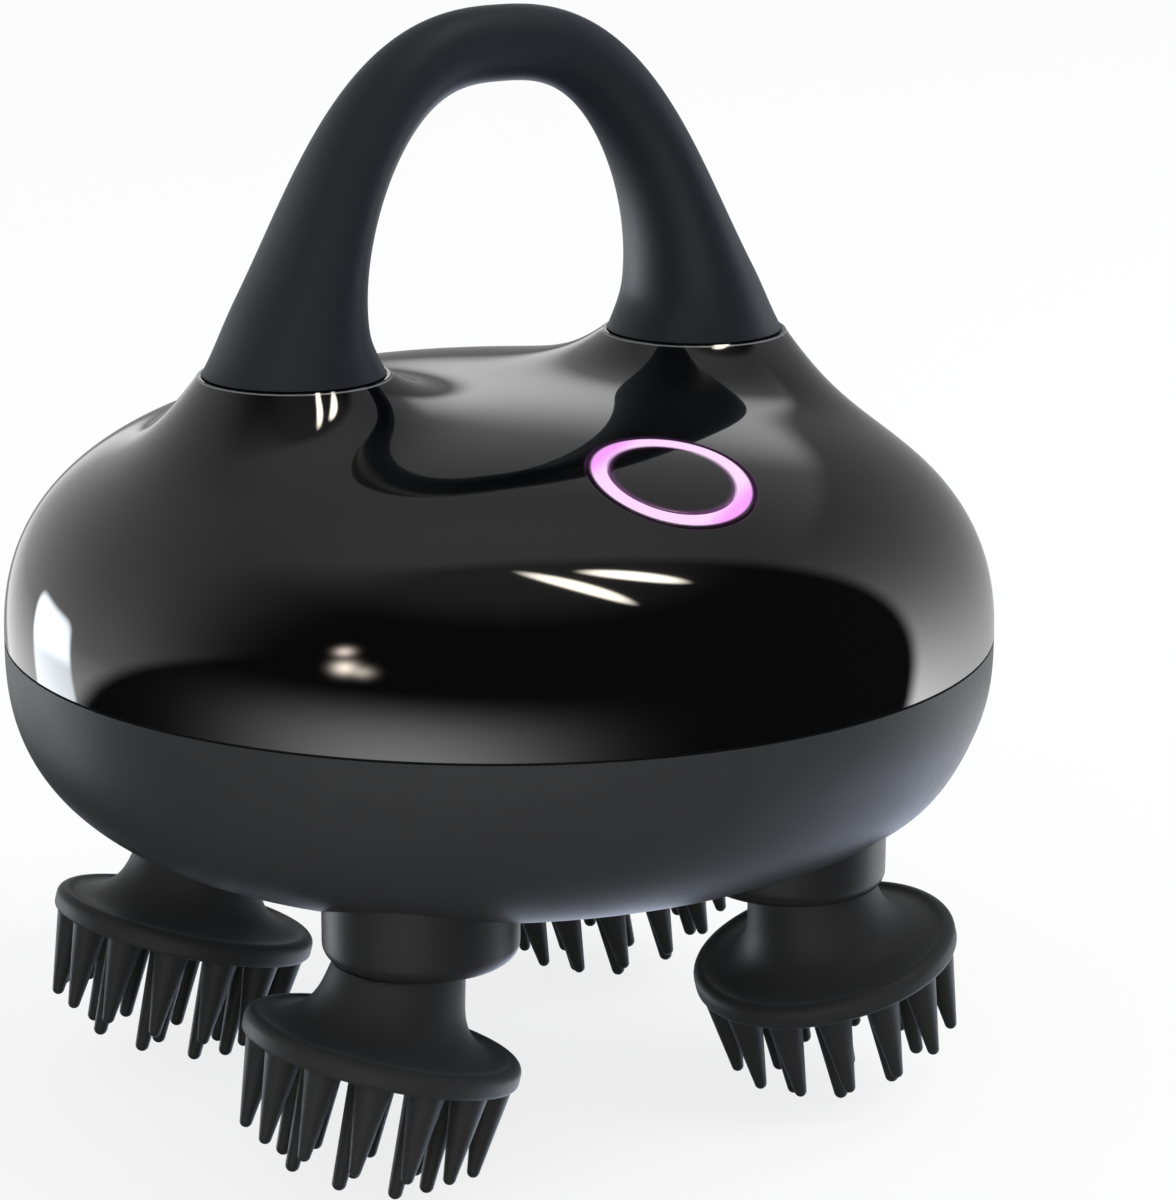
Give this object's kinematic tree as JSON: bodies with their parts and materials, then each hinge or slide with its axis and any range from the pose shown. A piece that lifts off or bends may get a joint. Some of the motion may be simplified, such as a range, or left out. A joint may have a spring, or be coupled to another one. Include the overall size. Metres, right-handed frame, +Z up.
{
  "type": "electric scalp massager",
  "caption": "Round cordless scalp massager with an arch handle, a lit power button and geared rotating heads of soft silicone spikes that pull off.",
  "frame": {"origin": "on the surface that the spike tips stand on, under the centre of the round body", "axes": "+Z up through the middle of the body; X along the handle; -Y is the front, where the power button is"},
  "size_m": [0.12, 0.12, 0.1329],
  "materials": {
    "gloss_shell": "polished black ABS, high gloss",
    "matte_shell": "fine matte charcoal",
    "soft_grip": "soft-touch coating, blue-grey charcoal",
    "silicone": "matte moulded silicone",
    "seal_rubber": "plain black rubber",
    "hub_plastic": "matte black moulding",
    "grey_moulding": "plain moulded nylon",
    "gear_plastic": "natural acetal",
    "bronze": "sintered bronze",
    "steel": "zinc plated",
    "motor_steel": "satin can",
    "battery_wrap": "heat-shrink sleeve",
    "circuit_board": "green solder mask",
    "chip_plastic": "black epoxy",
    "ring_light": "diffusing light guide, lit pink-violet",
    "led_white": "white LED package"
  },
  "bodies": {
    "casing": {"battery_cell": "battery_wrap", "battery_cradle": "grey_moulding", "board_components": "chip_plastic", "button_board": "circuit_board", "button_board_screws": "steel", "button_leds": "led_white", "case_screws": "steel", "charge_socket": "chip_plastic", "drive_motor": "motor_steel", "gearbox_plate": "grey_moulding", "handle_core": "grey_moulding", "handle_grip": "soft_grip", "handle_screws": "steel", "hub_bush_front_left": "bronze", "hub_bush_front_right": "bronze", "hub_bush_rear_left": "bronze", "hub_bush_rear_right": "bronze", "hub_seal_front_left": "seal_rubber", "hub_seal_front_right": "seal_rubber", "hub_seal_rear_left": "seal_rubber", "hub_seal_rear_right": "seal_rubber", "lower_shell": "matte_shell", "main_board": "circuit_board", "motor_gearhead": "motor_steel", "motor_screws": "steel", "plate_bush_front_left": "bronze", "plate_bush_front_right": "bronze", "plate_bush_rear_left": "bronze", "plate_bush_rear_right": "bronze", "plate_screws": "steel", "shell_gasket": "seal_rubber", "sun_bush": "bronze", "tact_switch": "chip_plastic", "upper_shell": "gloss_shell"},
    "power_button": {"button_cap": "gloss_shell", "light_ring": "ring_light", "switch_plunger": "chip_plastic"},
    "drive": {"sun_gear": "gear_plastic", "output_shaft": "steel"},
    "hub_front_left": {"drive_hub_front_left": "hub_plastic", "hub_shaft_front_left": "steel", "hub_gear_front_left": "gear_plastic", "hub_clip_front_left": "steel"},
    "head_front_left": {"massage_head_front_left": "silicone"},
    "hub_front_right": {"drive_hub_front_right": "hub_plastic", "hub_shaft_front_right": "steel", "hub_gear_front_right": "gear_plastic", "hub_clip_front_right": "steel"},
    "head_front_right": {"massage_head_front_right": "silicone"},
    "hub_rear_right": {"drive_hub_rear_right": "hub_plastic", "hub_shaft_rear_right": "steel", "hub_gear_rear_right": "gear_plastic", "hub_clip_rear_right": "steel"},
    "head_rear_right": {"massage_head_rear_right": "silicone"},
    "hub_rear_left": {"drive_hub_rear_left": "hub_plastic", "hub_shaft_rear_left": "steel", "hub_gear_rear_left": "gear_plastic", "hub_clip_rear_left": "steel"},
    "head_rear_left": {"massage_head_rear_left": "silicone"}
  },
  "joints": [
    {"name": "power_button_press", "type": "slide", "parent": "casing", "child": "power_button", "axis": [0, 0.3266, -0.9452], "range_m": [0, 0.0008], "stiffness_N_per_m": 1500, "springref_m": -0.0004},
    {"name": "sun_gear_spin", "type": "hinge", "parent": "casing", "child": "drive", "pos_m": [0, 0, 0.04674], "axis": [0, 0, 1], "continuous": true},
    {"name": "hub_spin_front_left", "type": "hinge", "parent": "casing", "child": "hub_front_left", "pos_m": [-0.02581, -0.02581, 0.03904], "axis": [0, 0, 1], "continuous": true},
    {"name": "head_pull_off_front_left", "type": "slide", "parent": "hub_front_left", "child": "head_front_left", "axis": [-0.2588, 0, -0.9659], "range_m": [0, 0.01]},
    {"name": "hub_spin_front_right", "type": "hinge", "parent": "casing", "child": "hub_front_right", "pos_m": [0.02581, -0.02581, 0.03904], "axis": [0, 0, 1], "continuous": true},
    {"name": "head_pull_off_front_right", "type": "slide", "parent": "hub_front_right", "child": "head_front_right", "axis": [0.2588, 0, -0.9659], "range_m": [0, 0.01]},
    {"name": "hub_spin_rear_right", "type": "hinge", "parent": "casing", "child": "hub_rear_right", "pos_m": [0.02581, 0.02581, 0.03904], "axis": [0, 0, 1], "continuous": true},
    {"name": "head_pull_off_rear_right", "type": "slide", "parent": "hub_rear_right", "child": "head_rear_right", "axis": [0.2588, 0, -0.9659], "range_m": [0, 0.01]},
    {"name": "hub_spin_rear_left", "type": "hinge", "parent": "casing", "child": "hub_rear_left", "pos_m": [-0.02581, 0.02581, 0.03904], "axis": [0, 0, 1], "continuous": true},
    {"name": "head_pull_off_rear_left", "type": "slide", "parent": "hub_rear_left", "child": "head_rear_left", "axis": [-0.2588, 0, -0.9659], "range_m": [0, 0.01]}
  ],
  "couplings": [
    {"joint": "hub_spin_front_left", "follows": "sun_gear_spin", "ratio": -1.92},
    {"joint": "hub_spin_front_right", "follows": "sun_gear_spin", "ratio": -1.92},
    {"joint": "hub_spin_rear_right", "follows": "sun_gear_spin", "ratio": -1.92},
    {"joint": "hub_spin_rear_left", "follows": "sun_gear_spin", "ratio": -1.92}
  ]
}
